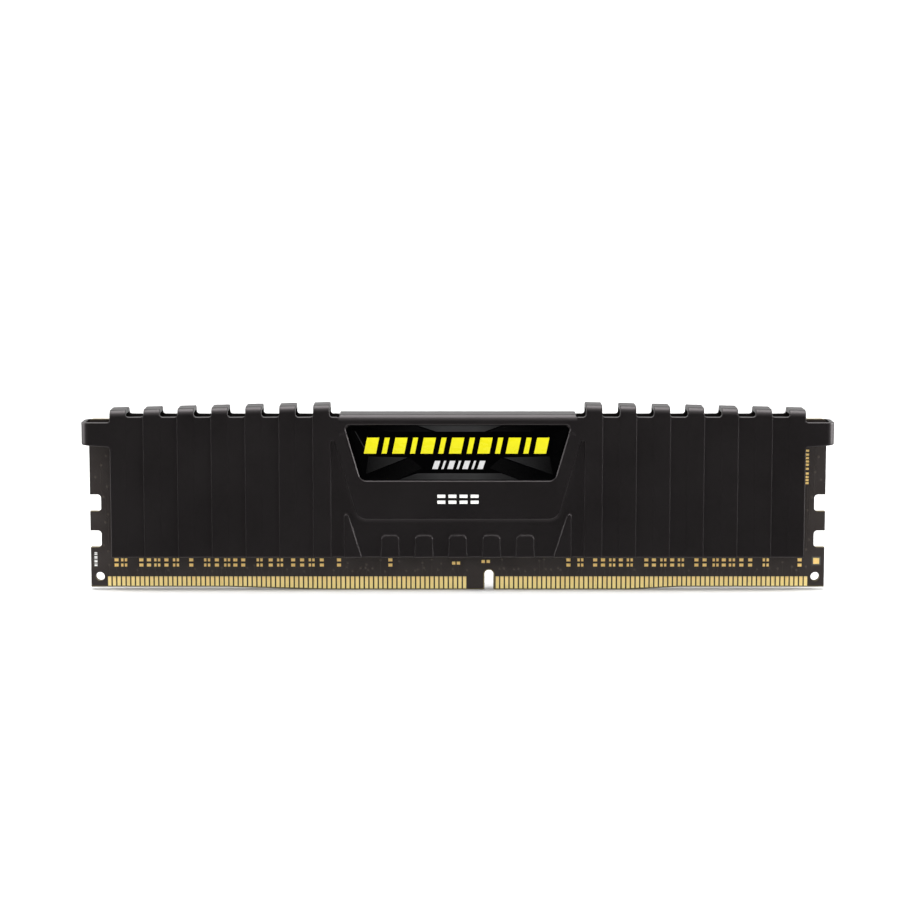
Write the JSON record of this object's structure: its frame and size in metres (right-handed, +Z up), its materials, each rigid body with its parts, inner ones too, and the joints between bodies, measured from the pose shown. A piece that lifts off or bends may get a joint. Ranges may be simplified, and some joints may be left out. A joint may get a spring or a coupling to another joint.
{
  "type": "ram module",
  "caption": "Desktop memory module: circuit board with a gold contact edge between two black stamped heat spreader shells with hooked fins, end tabs and a glossy centre badge.",
  "frame": {"origin": "middle of the card's length and thickness, on the level of its lowest contact edge", "axes": "+X along the card, the contact key is on the +X side; +Z up from the contact edge to the fins; the badge faces -Y"},
  "size_m": [0.1358, 0.0068, 0.0341],
  "materials": {
    "board_laminate": "satin black solder mask over glass laminate",
    "gold_plating": "gold plated, satin",
    "spreader_metal": "black anodised, satin",
    "badge_plastic": "gloss black with grey facets",
    "label_film": "white coated film",
    "pad_elastomer": "grey silicone pad",
    "package_epoxy": "moulded epoxy",
    "solder": "tin, satin",
    "capacitor_ceramic": "tan ceramic",
    "resistor_ceramic": "black glazed top"
  },
  "bodies": {
    "root": {"pcb": "board_laminate", "contacts_front_left": "gold_plating", "contacts_front_right": "gold_plating", "contacts_rear_left": "gold_plating", "contacts_rear_right": "gold_plating", "heatspreader_front": "spreader_metal", "heatspreader_rear": "spreader_metal", "badge_front": "badge_plastic", "label_rear": "label_film", "thermal_pad_front": "pad_elastomer", "thermal_pad_rear": "pad_elastomer", "dram_solder_balls": "solder", "spd_eeprom": "package_epoxy", "decoupling_capacitors": "capacitor_ceramic", "capacitor_terminals": "solder", "test_pads_front": "gold_plating", "edge_pads_front": "gold_plating", "fiducial_front": "gold_plating", "line_resistors": "resistor_ceramic", "resistor_terminals": "solder", "dram_package_1": "package_epoxy", "dram_package_2": "package_epoxy", "dram_package_3": "package_epoxy", "dram_package_4": "package_epoxy", "dram_package_5": "package_epoxy", "dram_package_6": "package_epoxy", "dram_package_7": "package_epoxy", "dram_package_8": "package_epoxy"}
  },
  "joints": []
}
